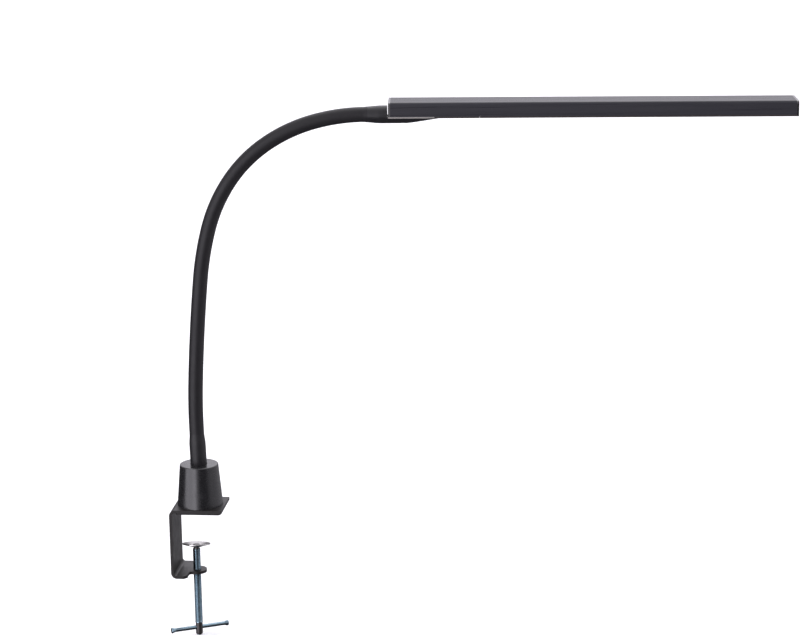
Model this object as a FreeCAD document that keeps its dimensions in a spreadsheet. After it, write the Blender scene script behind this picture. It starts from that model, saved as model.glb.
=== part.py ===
import FreeCAD, Part
import math
import os
import re
import Sketcher
from FreeCAD import Placement, Rotation, Vector

# Clip-on reading lamp: a screw clamp for a desk edge, a hollow cone on it, a gooseneck and a light bar.
# Frame, in millimetres: the origin is the centre of the rubber face that lies on the desk, under the
# cone; +Z is up, +X runs along the light bar and +Y points away from the user.
# The gooseneck is a chain of stiff links. Link n spans from neck joint n to neck joint n + 1.

SIZES = [
    # clamp strap
    ("strap_width", 50.0), ("strap_thick", 3.0), ("strap_bend", 3.0), ("plate_reach", 25.9),
    ("leg_reach", 28.2), ("jaw_open", 65.0), ("arm_notch", 12.0), ("notch_slope", 3.5),
    ("notch_round", 2.5), ("eye_radius", 10.0), ("eye_round", 9.8), ("eye_offset", 5.7),
    # turn of the clamp on the gooseneck, away from the light bar's line
    ("clamp_turn", 4.7),
    # rubber pad under the plate
    ("pad_thick", 2.0), ("pad_margin", 1.6), ("pad_round", 3.0),
    # hollow cone
    ("cone_foot_radius", 23.3), ("cone_top_radius", 19.6), ("cone_height", 42.8), ("cone_wall", 2.2),
    ("cone_top_wall", 3.0), ("cone_edge_round", 1.1), ("boss_offset", 13.2), ("boss_radius", 3.4),
    ("cup_wall", 2.0), ("shelf_thick", 3.0),
    # countersunk screws that hold the cone on the plate
    ("cone_screw_radius", 2.0), ("cone_screw_head", 3.8), ("cone_screw_length", 18.0),
    ("thread_clear", 0.1), ("hole_clear", 0.3),
    # power inlet in the back of the cone
    ("inlet_height", 13.0), ("inlet_radius", 3.9), ("inlet_flange_radius", 5.2), ("inlet_flange", 1.4),
    ("inlet_length", 12.6), ("inlet_wall", 3.6), ("inlet_inset", 1.2), ("inlet_bore", 2.85),
    ("inlet_bore_depth", 10.0), ("inlet_pin", 0.98), ("inlet_nut_radius", 6.2), ("inlet_nut_thick", 2.4),
    # gooseneck
    ("neck_lean", 1.5), ("neck_seat", 31.0), ("ferrule_length", 46.0), ("ferrule_radius", 8.35),
    ("ferrule_clear", 0.35), ("ferrule_taper", 12.0), ("ferrule_counterbore", 22.0),
    ("stub_radius", 4.95), ("stub_length", 11.0), ("neck_nut_radius", 8.0), ("neck_nut_thick", 5.0),
    ("washer_radius", 8.4), ("washer_thick", 1.0),
    ("link_length", 52.7), ("sleeve_radius", 7.5), ("sleeve_bore", 5.6), ("sleeve_gap", 1.75),
    ("hose_radius", 5.5), ("hose_bore", 2.4), ("hose_gap", 1.4), ("lead_radius", 1.4), ("lead_gap", 0.9),
    ("bend_1", 4.5), ("bend_2", 1.5), ("bend_3", 1.5), ("bend_4", 9.5), ("bend_5", 19.0),
    ("bend_6", 21.5), ("bend_7", 19.0), ("bend_8", 15.4),
    ("inlet_lead_bend", 5.0),
    # socket that carries the light bar
    ("socket_radius", 8.9), ("socket_mouth", 7.9), ("socket_flare", 12.0), ("socket_length", 21.0),
    ("socket_bore_length", 17.2), ("tongue_flat", 38.5), ("tongue_tip", 82.0), ("bar_drop", 1.35),
    ("channel_width", 4.4), ("channel_depth", 3.65), ("channel_end", 32.0),
    ("grub_place", 10.0), ("grub_radius", 2.0), ("grub_length", 3.0),
    ("head_screw_place", 36.5), ("head_screw_pitch", 9.0), ("head_screw_radius", 1.5),
    ("head_screw_head", 2.7), ("head_screw_head_thick", 1.7), ("head_screw_length", 7.0),
    ("head_screw_seat", 2.9),
    # light bar
    ("bar_gap", 1.2), ("bar_length", 401.0), ("bar_width", 40.0), ("bar_height", 15.5),
    ("bar_round", 2.5), ("bar_wall", 1.8), ("bar_roof", 1.6), ("web_height", 8.0), ("web_thick", 1.5),
    ("slot_height", 0.9), ("slot_thick", 1.6), ("slot_depth", 0.9), ("slide_clear", 0.1),
    ("cap_thick", 2.2), ("spigot_length", 6.0), ("spigot_clear", 0.15),
    ("strip_thick", 1.5), ("strip_clear", 0.1), ("mount_length", 43.1), ("switch_cover_length", 44.0),
    ("cover_thick", 5.5), ("cover_gap", 0.3),
    ("board_width", 24.0), ("board_thick", 1.2), ("board_margin", 4.0),
    ("chip_long", 3.5), ("chip_wide", 2.8), ("chip_thick", 0.8), ("chip_pitch", 6.5),
    ("driver_place", 40.0), ("driver_length", 50.0), ("driver_width", 26.0), ("driver_lift", 0.2),
    ("coil_radius", 4.0), ("coil_height", 2.4), ("driver_chip", 5.0), ("driver_chip_thick", 1.4),
    # push button for on, off and dimming
    ("button_radius", 5.0), ("button_proud", 1.2), ("button_flange", 6.0),
    ("button_flange_thick", 1.0), ("button_ledge", 1.8), ("button_clear", 0.15), ("button_travel", 0.8),
    ("button_rest_gap", 0.1), ("plunger_radius", 1.7), ("plunger_length", 0.5), ("switch_side", 8.0),
    ("switch_board_side", 16.0), ("switch_board_thick", 0.6),
    # clamp spindle and tommy bar
    ("spindle_radius", 3.95), ("spindle_clear", 0.1), ("spindle_length", 80.0), ("hub_radius", 3.6),
    ("hub_length", 13.2), ("spindle_round", 0.8), ("hub_round", 1.6), ("tommy_place", 5.6),
    ("tommy_radius", 2.0), ("tommy_clear", 0.08), ("tommy_length", 61.5), ("tommy_end_radius", 3.0),
    ("tommy_end_length", 3.2), ("tommy_offset", 0.9), ("tommy_turn", 27.0),
    # swivelling foot
    ("foot_drop", 37.5), ("foot_radius", 14.3), ("foot_thick", 1.2), ("foot_dish", 2.6),
    ("foot_flat", 4.9), ("foot_hole", 2.6), ("foot_play", 0.7), ("foot_lean", 10.0),
    ("rivet_radius", 1.9), ("rivet_clear", 0.05), ("rivet_head_radius", 3.4), ("rivet_head_thick", 1.2),
    ("rivet_collar_radius", 3.1), ("rivet_collar_thick", 0.8), ("rivet_tail", 6.0), ("rivet_bore", 6.4),
]
LINKS = 8

doc = FreeCAD.newDocument("reading_lamp")
sheet = doc.addObject("Spreadsheet::Sheet", "Sizes")
for row, (alias, size) in enumerate(SIZES, start=1):
    sheet.set("A%d" % row, alias)
    sheet.set("B%d" % row, str(size))
    sheet.setAlias("B%d" % row, alias)
doc.recompute()

ALIASES = {alias for alias, size in SIZES}
nodes = {}


def bound(expression):
    """Put the sheet's name before each alias in an expression."""
    def name(word):
        return "Sizes." + word.group() if word.group() in ALIASES else word.group()
    return re.sub(r"[a-z]\w*", name, str(expression))


def value(expression):
    """Work an expression of aliases out to a plain number."""
    result = sheet.evalExpression(bound(expression))
    return float(getattr(result, "Value", result))


def at(x=0, y=0, z=0, axis=(0, 0, 1), angle=0):
    """A placement at three expressions, turned by an angle in degrees."""
    return Placement(Vector(value(x), value(y), value(z)), Rotation(Vector(*axis), value(angle)))


def bind(thing, properties):
    """Bind properties of an object to expressions of the sheet's aliases."""
    for name, expression in properties.items():
        thing.setExpression(name, bound(expression))


# ---- sketches and features ----

def new_body(label):
    body = doc.addObject("PartDesign::Body", label)
    body.Label = label
    return body


def new_sketch(body, role, name, offset="0"):
    """A sketch on one of the body's own planes, moved along that plane's normal."""
    sketch = body.newObject("Sketcher::SketchObject", name)
    plane = [item for item in body.Origin.OriginFeatures if item.Role == role][0]
    sketch.AttachmentSupport = (plane, [""])
    sketch.MapMode = "FlatFace"
    sketch.AttachmentOffset = at(z=offset)
    bind(sketch, {"AttachmentOffset.Base.z": offset})
    return sketch


def fix(sketch, kind, items, expression):
    """Add a dimension to a sketch and bind it."""
    index = sketch.addConstraint(Sketcher.Constraint(kind, *items, value(expression)))
    bind(sketch, {"Constraints[%d]" % index: expression})


def fix_point(sketch, geometry, point, corner):
    fix(sketch, "DistanceX", (-1, 1, geometry, point), corner[0])
    fix(sketch, "DistanceY", (-1, 1, geometry, point), corner[1])


def draw_circle(sketch, radius, x="0", y="0"):
    centre = Vector(value(x), value(y), 0)
    circle = sketch.addGeometry(Part.Circle(centre, Vector(0, 0, 1), value(radius)), False)
    fix_point(sketch, circle, 3, (x, y))
    fix(sketch, "Radius", (circle,), radius)


def round_corner(before, corner, after, radius):
    """The arc that rounds a corner, and whether it runs against the outline."""
    back = (before - corner).normalize()
    ahead = (after - corner).normalize()
    half = back.getAngle(ahead) / 2
    centre = corner + (back + ahead).normalize() * (radius / math.sin(half))
    reach = radius / math.tan(half)
    first, last = corner + back * reach, corner + ahead * reach
    clockwise = back.cross(ahead).z > 0
    ends = [last, first] if clockwise else [first, last]
    angles = [math.atan2(end.y - centre.y, end.x - centre.x) for end in ends]
    if angles[1] < angles[0]:
        angles[1] += 2 * math.pi
    circle = Part.Circle(centre, Vector(0, 0, 1), radius)
    return Part.ArcOfCircle(circle, *angles), first, last, clockwise


def draw_outline(sketch, corners):
    """A closed outline through (x, y) or (x, y, radius) corners, all of them expressions."""
    count = len(corners)
    points = [Vector(value(corner[0]), value(corner[1]), 0) for corner in corners]
    first, last, arcs = list(points), list(points), {}
    for i, corner in enumerate(corners):
        if len(corner) > 2:
            shape, first[i], last[i], clockwise = round_corner(
                points[i - 1], points[i], points[(i + 1) % count], value(corner[2]))
            arcs[i] = (shape, clockwise)
    lines = []
    for i in range(count):
        side = Part.LineSegment(last[i], first[(i + 1) % count])
        lines.append(sketch.addGeometry(side, False))
    for i, corner in enumerate(corners):
        if i not in arcs:
            sketch.addConstraint(Sketcher.Constraint("Coincident", lines[i - 1], 2, lines[i], 1))
            fix_point(sketch, lines[i], 1, corner)
            continue
        shape, clockwise = arcs[i]
        arc = sketch.addGeometry(shape, False)
        sharp = sketch.addGeometry(Part.Point(points[i]), True)
        start, end = (2, 1) if clockwise else (1, 2)
        sketch.addConstraint(Sketcher.Constraint("Tangent", lines[i - 1], 2, arc, start))
        sketch.addConstraint(Sketcher.Constraint("Tangent", arc, end, lines[i], 1))
        sketch.addConstraint(Sketcher.Constraint("PointOnObject", sharp, 1, lines[i - 1]))
        sketch.addConstraint(Sketcher.Constraint("PointOnObject", sharp, 1, lines[i]))
        fix(sketch, "Radius", (arc,), corner[2])
        fix_point(sketch, sharp, 1, corner)


def pad(body, sketch, length, both_ways=False):
    feature = body.newObject("PartDesign::Pad", sketch.Name + "_pad")
    feature.Profile = sketch
    feature.Midplane = both_ways
    bind(feature, {"Length": length})
    return feature


def pocket(body, sketch, length, both_ways=False):
    feature = body.newObject("PartDesign::Pocket", sketch.Name + "_pocket")
    feature.Profile = sketch
    feature.Midplane = both_ways
    bind(feature, {"Length": length})
    return feature


def turned(label, corners, axis="V_Axis"):
    """A body turned from an outline of (distance, along) or, about H_Axis, (along, distance)."""
    body = new_body(label)
    sketch = new_sketch(body, "XZ_Plane", label + "_outline")
    draw_outline(sketch, corners)
    feature = body.newObject("PartDesign::Revolution", label + "_turn")
    feature.Profile = sketch
    feature.ReferenceAxis = (sketch, [axis])
    feature.Angle = 360
    return body


def tube_corners(start, end, outer, bore):
    return [(start, bore), (end, bore), (end, outer), (start, outer)]


def extruded(label, role, corners, length, offset="0", both_ways=False):
    """A body padded from an outline on one of its planes."""
    body = new_body(label)
    sketch = new_sketch(body, role, label + "_outline", offset)
    draw_outline(sketch, corners)
    pad(body, sketch, length, both_ways)
    return body


# ---- primitives and booleans ----

def cylinder(name, radius, height, place):
    thing = doc.addObject("Part::Cylinder", name)
    bind(thing, {"Radius": radius, "Height": height})
    thing.Placement = place
    return thing


def box(name, long_side, wide_side, high_side, place):
    """A block that is centred across its width, with its length along its own X."""
    thing = doc.addObject("Part::Box", name)
    bind(thing, {"Length": long_side, "Width": wide_side, "Height": high_side})
    shift = Placement(Vector(0, -value(wide_side) / 2, 0), Rotation())
    thing.Placement = place.multiply(shift)
    return thing


def hexagon(name, radius, height, place):
    thing = doc.addObject("Part::Prism", name)
    thing.Polygon = 6
    bind(thing, {"Circumradius": radius, "Height": height})
    thing.Placement = place
    return thing


def joined(name, things):
    result = doc.addObject("Part::MultiFuse", name)
    result.Shapes = things
    result.Refine = True
    return result


def cut(name, base, tools):
    result = doc.addObject("Part::Cut", name)
    result.Base = base
    result.Tool = tools[0] if len(tools) == 1 else joined(name + "_tools", tools)
    return result


def group(name, things):
    result = doc.addObject("Part::Compound", name)
    result.Links = things
    return result


def keep(label, thing, place=None):
    """Enter a finished sub-part under its node name, and put it in its place."""
    thing.Label = label
    if place is not None:
        thing.Placement = place.multiply(thing.Placement)
    nodes[label] = thing


# ---- where the gooseneck's joints lie ----

def step_along(place, length, bend):
    """The frame after an arc that starts along its frame's own Z and bends towards its own X."""
    turn = math.radians(bend)
    radius = length / turn
    move = Vector(radius * (1 - math.cos(turn)), 0, radius * math.sin(turn))
    return place.multiply(Placement(move, Rotation(Vector(0, 1, 0), bend)))


PLATE_TOP = "(pad_thick + strap_thick)"
NECK_SEAT = "(pad_thick + strap_thick + neck_seat)"
seat = at(z=NECK_SEAT, axis=(0, 1, 0), angle="-neck_lean")
joints = [seat.multiply(at(z="ferrule_length"))]
for number in range(1, LINKS + 1):
    joints.append(step_along(joints[-1], value("link_length"), value("bend_%d" % number)))
# the clamp's frame is turned on the gooseneck's foot, and the spindle's frame is in it
clamp = at(axis=(0, 0, 1), angle="-clamp_turn")
screw_line = clamp.multiply(at("-eye_offset"))
# the head's frame: its X runs on along the gooseneck and its Z points up from the bar
head = joints[-1].multiply(Placement(Vector(), Rotation(Vector(0, 1, 0), -90)))


# ---- clamp ----

def make_bracket():
    """Bent steel strap: plate, leg and lower arm, with an eye for the spindle."""
    body = new_body("bracket_strap")
    profile = new_sketch(body, "XZ_Plane", "strap_profile")
    outer_bend = "strap_bend + strap_thick"
    eye_end = "eye_radius - eye_offset"
    leg_inside = "strap_thick - leg_reach"
    draw_outline(profile, [
        ("plate_reach", PLATE_TOP),
        ("-leg_reach", PLATE_TOP, outer_bend),
        ("-leg_reach", "-jaw_open - strap_thick", outer_bend),
        (eye_end, "-jaw_open - strap_thick"),
        (eye_end, "-jaw_open"),
        (leg_inside, "-jaw_open", "strap_bend"),
        (leg_inside, "pad_thick", "strap_bend"),
        ("plate_reach", "pad_thick")])
    pad(body, profile, "strap_width", both_ways=True)
    notch = new_sketch(body, "XY_Plane", "arm_shape", "-jaw_open + strap_thick")
    far = "(strap_width / 2 + strap_thick)"
    half = "strap_width / 2"
    slope = "strap_width / 2 - notch_slope"
    draw_outline(notch, [
        (eye_end + " + strap_thick", "-" + far),
        (eye_end + " + strap_thick", far),
        ("-arm_notch - notch_slope", far),
        ("-arm_notch - notch_slope", half),
        ("-arm_notch", slope, "notch_round"),
        ("-arm_notch", "eye_radius", "notch_round"),
        (eye_end, "eye_radius", "eye_round"),
        (eye_end, "-eye_radius", "eye_round"),
        ("-arm_notch", "-eye_radius", "notch_round"),
        ("-arm_notch", "-(" + slope + ")", "notch_round"),
        ("-arm_notch - notch_slope", "-" + half),
        ("-arm_notch - notch_slope", "-" + far)])
    pocket(body, notch, "strap_thick * 3")
    bore = new_sketch(body, "XY_Plane", "spindle_bore", "-jaw_open + strap_thick")
    draw_circle(bore, "spindle_radius + spindle_clear", "-eye_offset")
    pocket(body, bore, "strap_thick * 3")
    sinks = []
    for side in (-1, 1):
        place = "%d * boss_offset" % side
        sink = turned("screw_sink_%d" % (side + 1), [
            ("0", "-strap_thick"), ("cone_screw_head + hole_clear", "-strap_thick"),
            ("cone_screw_head + hole_clear", "0"),
            ("cone_screw_radius + hole_clear", "cone_screw_head - cone_screw_radius"),
            ("cone_screw_radius + hole_clear", "strap_thick * 2"), ("0", "strap_thick * 2")])
        sink.Placement = at(place, 0, "pad_thick")
        sinks.append(sink)
    keep("clamp_bracket", cut("bracket", body, sinks), clamp)


def make_pad():
    """Rubber pad under the plate, which bears on the desk."""
    left = "strap_thick + strap_bend + thread_clear * 4 - leg_reach"
    right = "plate_reach - pad_margin"
    half = "strap_width / 2 - pad_margin"
    keep("table_pad", extruded("pad", "XY_Plane", [
        (left, "-(" + half + ")", "pad_round"), (right, "-(" + half + ")", "pad_round"),
        (right, half, "pad_round"), (left, half, "pad_round")], "pad_thick"), clamp)


def make_cone_screws():
    screws = []
    for side in (-1, 1):
        screw = turned("cone_screw_%d" % (side + 1), [
            ("0", "0"), ("cone_screw_head", "0"),
            ("cone_screw_radius - thread_clear", "cone_screw_head - cone_screw_radius + thread_clear"),
            ("cone_screw_radius - thread_clear", "cone_screw_length"), ("0", "cone_screw_length")])
        screw.Placement = at("%d * boss_offset" % side, 0, "pad_thick")
        screws.append(screw)
    keep("cone_screws", group("cone_screw_pair", screws), clamp)


def inlet_frame():
    """The inlet's frame: its Z points out of the back of the cone, from the flange's seat."""
    rise = "inlet_height * (cone_foot_radius - cone_top_radius) / cone_height"
    out = "cone_foot_radius - inlet_inset - " + rise
    return at(0, out, PLATE_TOP + " + inlet_height", axis=(1, 0, 0), angle=-90)


def make_cone():
    """Hollow cone with two screw bosses, an angled cup for the gooseneck and the inlet's seat."""
    shell = turned("cone_shell", [
        ("cone_foot_radius - cone_wall", "0"), ("cone_foot_radius", "0"),
        ("cone_top_radius", "cone_height", "cone_edge_round"), ("0", "cone_height"),
        ("0", "cone_height - cone_top_wall"),
        ("cone_top_radius - cone_wall", "cone_height - cone_top_wall", "cone_edge_round")])
    shell.Placement = at(z=PLATE_TOP)
    inlet = inlet_frame()
    cup_radius = "ferrule_radius + ferrule_clear + cup_wall"
    adds = [shell]
    cuts = []
    for side in (-1, 1):
        place = "%d * boss_offset" % side
        boss = cylinder("cone_boss_%d" % (side + 1), "boss_radius", "cone_height - cone_top_wall / 2",
                        clamp.multiply(at(place, 0, PLATE_TOP)))
        adds.append(boss)
        cuts.append(cylinder("boss_bore_%d" % (side + 1), "cone_screw_radius", "cone_screw_length",
                             clamp.multiply(at(place, 0, PLATE_TOP))))
    cup_top = "cone_height - cone_top_wall / 2 - neck_seat + shelf_thick"
    adds.append(cylinder("neck_cup", cup_radius, cup_top, seat.multiply(at(z="-shelf_thick"))))
    adds.append(cylinder("inlet_boss", "inlet_nut_radius + cup_wall / 2", "inlet_wall - inlet_inset / 4",
                         inlet.multiply(at(z="-inlet_wall"))))
    cuts.append(cylinder("neck_hole", "ferrule_radius + ferrule_clear", "cone_height", seat))
    cuts.append(cylinder("stub_hole", "stub_radius + thread_clear", "shelf_thick * 3",
                         seat.multiply(at(z="-shelf_thick * 2"))))
    cuts.append(cylinder("inlet_face", "inlet_flange_radius + hole_clear", "inlet_wall", inlet))
    cuts.append(cylinder("inlet_hole", "inlet_radius + thread_clear", "inlet_wall * 2",
                         inlet.multiply(at(z="-inlet_wall * 3 / 2"))))
    keep("base_cone", cut("cone", joined("cone_solid", adds), cuts))


def make_inlet():
    """Barrel socket for the power adapter, its panel nut, and the lead that runs up to the neck."""
    inlet = inlet_frame()
    keep("power_inlet", turned("inlet", [
        ("0", "-inlet_length"), ("inlet_radius", "-inlet_length"), ("inlet_radius", "0"),
        ("inlet_flange_radius", "0"), ("inlet_flange_radius", "inlet_flange"),
        ("inlet_bore", "inlet_flange"), ("inlet_bore", "inlet_flange - inlet_bore_depth"),
        ("inlet_pin", "inlet_flange - inlet_bore_depth"), ("inlet_pin", "0"), ("0", "0")]), inlet)
    nut_place = inlet.multiply(at(z="-inlet_wall - inlet_nut_thick"))
    ring = hexagon("inlet_nut_blank", "inlet_nut_radius", "inlet_nut_thick", nut_place)
    thread = cylinder("inlet_nut_thread", "inlet_radius + thread_clear", "inlet_nut_thick", nut_place)
    keep("inlet_nut", cut("inlet_hex", ring, [thread]))
    # the lead leaves the inlet level, and turns up into the gooseneck's own axis
    up = seat.Rotation.multVec(Vector(0, 0, 1))
    back = Vector(0, 1, 0)
    level = inlet.Base.z
    corner = seat.Base - up * ((seat.Base.z - level) / up.z)
    start = corner + back * (inlet.Base.y - value("inlet_length"))
    bend = value("inlet_lead_bend")
    arc_start, arc_end = corner + back * bend, corner + up * bend
    middle = corner + (back + up) * bend - (back + up).normalize() * bend
    top = seat.Base - up * value("stub_length - ferrule_counterbore")
    wire = Part.Wire([Part.makeLine(start, arc_start), Part.Arc(arc_start, middle, arc_end).toShape(),
                      Part.makeLine(arc_end, top)])
    section = Part.Wire(Part.makeCircle(value("lead_radius"), start, back * -1))
    lead = doc.addObject("Part::Feature", "base_lead_pipe")
    lead.Shape = wire.makePipeShell([section], True, True)
    keep("base_lead", lead)


# ---- gooseneck ----

def make_ferrule():
    """Lower end fitting: threaded stub, shoulder and the sleeve that the gooseneck stands in."""
    top = "ferrule_length - sleeve_gap"
    keep("lower_ferrule", turned("ferrule", [
        ("hose_bore", "-stub_length"), ("stub_radius", "-stub_length"), ("stub_radius", "0"),
        ("ferrule_radius", "0"), ("ferrule_radius", top + " - ferrule_taper"), ("sleeve_radius", top),
        ("sleeve_bore", top), ("sleeve_bore", "ferrule_counterbore"),
        ("hose_bore", "ferrule_counterbore")]), seat)
    washer_place = seat.multiply(at(z="-shelf_thick - washer_thick"))
    disc = cylinder("washer_blank", "washer_radius", "washer_thick", washer_place)
    hole = cylinder("washer_hole", "stub_radius + thread_clear", "washer_thick", washer_place)
    keep("neck_washer", cut("washer", disc, [hole]))
    nut_place = seat.multiply(at(z="-shelf_thick - washer_thick - neck_nut_thick"))
    blank = hexagon("neck_nut_blank", "neck_nut_radius", "neck_nut_thick", nut_place)
    thread = cylinder("neck_nut_thread", "stub_radius + thread_clear", "neck_nut_thick", nut_place)
    keep("neck_nut", cut("neck_hex", blank, [thread]))
    hose = turned("hose_foot", [
        ("hose_bore", "ferrule_counterbore"), ("hose_radius", "ferrule_counterbore"),
        ("hose_radius", "ferrule_length - hose_gap"), ("hose_bore", "ferrule_length - hose_gap")])
    keep("neck_hose_foot", hose, seat)
    lead = cylinder("lead_foot", "lead_radius", "ferrule_length - lead_gap - ferrule_counterbore",
                    at(z="ferrule_counterbore"))
    keep("neck_lead_foot", lead, seat)


def bent(label, number, gap, outer, bore=None):
    """A round bar or tube bent to link number's arc, a gap short of the joints at both its ends."""
    bend = "bend_%d" % number
    body = new_body(label)
    ring = new_sketch(body, "XY_Plane", label + "_section")
    draw_circle(ring, outer)
    if bore:
        draw_circle(ring, bore)
    radius = "link_length / (%s * pi / 180)" % bend
    reach = value(radius)
    axis = Part.LineSegment(Vector(reach, -1, 0), Vector(reach, 1, 0))
    line = ring.addGeometry(axis, True)
    ring.addConstraint(Sketcher.Constraint("Vertical", line))
    fix(ring, "DistanceX", (-1, 1, line, 1), radius)
    feature = body.newObject("PartDesign::Revolution", label + "_bend")
    feature.Profile = ring
    feature.ReferenceAxis = (ring, ["Axis0"])
    bind(feature, {"Angle": "%s * (1 - 2 * %s / link_length)" % (bend, gap)})
    share = value(gap) / value("link_length")
    start = step_along(joints[number - 1], value(gap), value(bend) * share)
    return body, start


def make_links():
    for number in range(1, LINKS + 1):
        sleeve, start = bent("sleeve_%d" % number, number, "sleeve_gap", "sleeve_radius", "sleeve_bore")
        keep("neck_sleeve_%d" % number, sleeve, start)
        hose, start = bent("hose_%d" % number, number, "hose_gap", "hose_radius", "hose_bore")
        keep("neck_hose_%d" % number, hose, start)
        lead, start = bent("lead_%d" % number, number, "lead_gap", "lead_radius")
        keep("neck_lead_%d" % number, lead, start)


# ---- head ----

UNDER = "(-bar_drop)"
BAR_START = "(socket_length + bar_gap)"
INSIDE = "(socket_length + bar_gap + cap_thick)"
PROFILE_LENGTH = "(bar_length - 2 * cap_thick)"
SWITCH_START = "(socket_length + bar_gap + cap_thick + mount_length + cover_gap)"
BUTTON_PLACE = "(socket_length + bar_gap + cap_thick + mount_length + cover_gap + switch_cover_length * 2 / 3)"
LIGHT_START = "(%s + switch_cover_length + cover_gap)" % SWITCH_START
LIGHT_LENGTH = "(bar_length - 2 * cap_thick - mount_length - switch_cover_length - 2 * cover_gap)"


def upright(along, height):
    """A placement in the head's frame, with Z up from the bar."""
    return head.multiply(at(along, 0, height))


def make_socket():
    """Round socket on the gooseneck's end, with a tongue that runs on under the bar."""
    round_body = turned("socket_round", [
        ("sleeve_gap", "0"), ("tongue_tip + socket_flare", "0"),
        ("tongue_tip + socket_flare", "socket_radius"), ("sleeve_gap + socket_flare", "socket_radius"),
        ("sleeve_gap", "socket_mouth")], "H_Axis")
    slope = "(tongue_tip - tongue_flat) / (socket_radius - bar_drop)"
    side = extruded("socket_side", "XZ_Plane", [
        ("0", "-socket_radius - 1"), ("tongue_flat - " + slope, "-socket_radius - 1"),
        ("tongue_tip", UNDER), ("socket_length", UNDER), ("socket_length", "socket_radius + 1"),
        ("0", "socket_radius + 1")], "socket_radius * 3", both_ways=True)
    whole = doc.addObject("Part::Common", "socket_solid")
    whole.Base = round_body
    whole.Tool = side
    cuts = [
        cylinder("socket_bore", "sleeve_bore", "socket_bore_length", at(axis=(0, 1, 0), angle=90)),
        box("lead_channel", "channel_end - socket_bore_length", "channel_width", "channel_depth",
            at("socket_bore_length", 0, UNDER + " - channel_depth")),
        cylinder("grub_hole", "grub_radius", "socket_radius", at("grub_place", 0, "-socket_radius"))]
    for index in range(2):
        place = "head_screw_place + %d * head_screw_pitch" % index
        cuts.append(cylinder("tongue_hole_%d" % index, "head_screw_radius + thread_clear",
                             "socket_radius * 2", at(place, 0, "-socket_radius")))
        cuts.append(cylinder("tongue_sink_%d" % index, "head_screw_head + hole_clear", "socket_radius",
                             at(place, 0, UNDER + " - head_screw_seat - socket_radius")))
    keep("head_socket", cut("socket", whole, cuts), head)
    keep("upper_ferrule", turned("upper_fitting", tube_corners(
        "hose_gap", "socket_bore_length", "hose_radius", "hose_bore"), "H_Axis"), head)
    lead = cylinder("lead_top", "lead_radius", "socket_bore_length - lead_gap",
                    at("lead_gap", axis=(0, 1, 0), angle=90))
    keep("neck_lead_top", lead, head)
    keep("grub_screw", cylinder("grub", "grub_radius - thread_clear", "grub_length",
                                at("grub_place", 0, "-hose_radius - thread_clear - grub_length")), head)
    screws = []
    for index in range(2):
        screw = turned("head_screw_%d" % index, [
            ("0", "-head_screw_head_thick"), ("head_screw_head", "-head_screw_head_thick"),
            ("head_screw_head", "0"), ("head_screw_radius - thread_clear / 2", "0"),
            ("head_screw_radius - thread_clear / 2", "head_screw_length"), ("0", "head_screw_length")])
        screw.Placement = at("head_screw_place + %d * head_screw_pitch" % index, 0,
                             UNDER + " - head_screw_seat")
        screws.append(screw)
    keep("head_screws", group("head_screw_pair", screws), head)


def bar_outline(bottom):
    """The bar's outer section across Y, from a height up."""
    half = "bar_width / 2"
    top = UNDER + " + bar_height"
    return [("-" + half, bottom), (half, bottom), (half, top, "bar_round"), ("-" + half, top, "bar_round")]


def make_profile():
    """Aluminium extrusion: closed upper chamber, and a channel below with slots for its strips."""
    wall = "bar_width / 2 - bar_wall"
    lip = "bar_width / 2 - bar_wall - slot_depth"
    foot = UNDER + " + strip_thick"
    slot_low = foot + " + slot_height"
    slot_high = foot + " + slot_height + slot_thick"
    web_low = UNDER + " + web_height"
    web_high = UNDER + " + web_height + web_thick"
    roof = UNDER + " + bar_height - bar_roof"
    top = UNDER + " + bar_height"
    half = "bar_width / 2"
    right = [(lip, foot), (half, foot), (half, top, "bar_round")]
    left = [("-" + half, top, "bar_round"), ("-" + half, foot), ("-(" + lip + ")", foot)]
    inside_left = [("-(" + lip + ")", slot_low), ("-(" + wall + ")", slot_low),
                   ("-(" + wall + ")", slot_high), ("-(" + lip + ")", slot_high),
                   ("-(" + lip + ")", web_low)]
    inside_right = [(lip, web_low), (lip, slot_high), (wall, slot_high), (wall, slot_low),
                    (lip, slot_low)]
    body = new_body("profile")
    section = new_sketch(body, "YZ_Plane", "bar_section", INSIDE)
    draw_outline(section, right + left + inside_left + inside_right)
    draw_outline(section, [("-(" + wall + ")", web_high), (wall, web_high), (wall, roof),
                           ("-(" + wall + ")", roof)])
    pad(body, section, PROFILE_LENGTH)
    lead_hole = cylinder("web_hole", "channel_width / 2", "web_thick * 3",
                         at(INSIDE + " + driver_place / 2", 0, web_low + " - web_thick"))
    keep("head_profile", cut("bar_profile", body, [lead_hole]), head)


def make_caps():
    """Push-in end caps, each with a spigot that fills the upper chamber's mouth."""
    for name, start, spigot, bottom in (
            ("end_cap_left", BAR_START, INSIDE, UNDER + " + strip_thick"),
            ("end_cap_right", BAR_START + " + bar_length - cap_thick",
             BAR_START + " + bar_length - cap_thick - spigot_length", UNDER)):
        body = new_body(name + "_plug")
        plate = new_sketch(body, "YZ_Plane", name + "_plate", start)
        draw_outline(plate, bar_outline(bottom))
        pad(body, plate, "cap_thick")
        peg = new_sketch(body, "YZ_Plane", name + "_spigot", spigot)
        half = "(bar_width / 2 - bar_wall - spigot_clear)"
        low = UNDER + " + web_height + web_thick + spigot_clear"
        high = UNDER + " + bar_height - bar_roof - spigot_clear"
        draw_outline(peg, [("-" + half, low), (half, low), (half, high), ("-" + half, high)])
        pad(body, peg, "spigot_length")
        keep(name, body, head)


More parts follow.
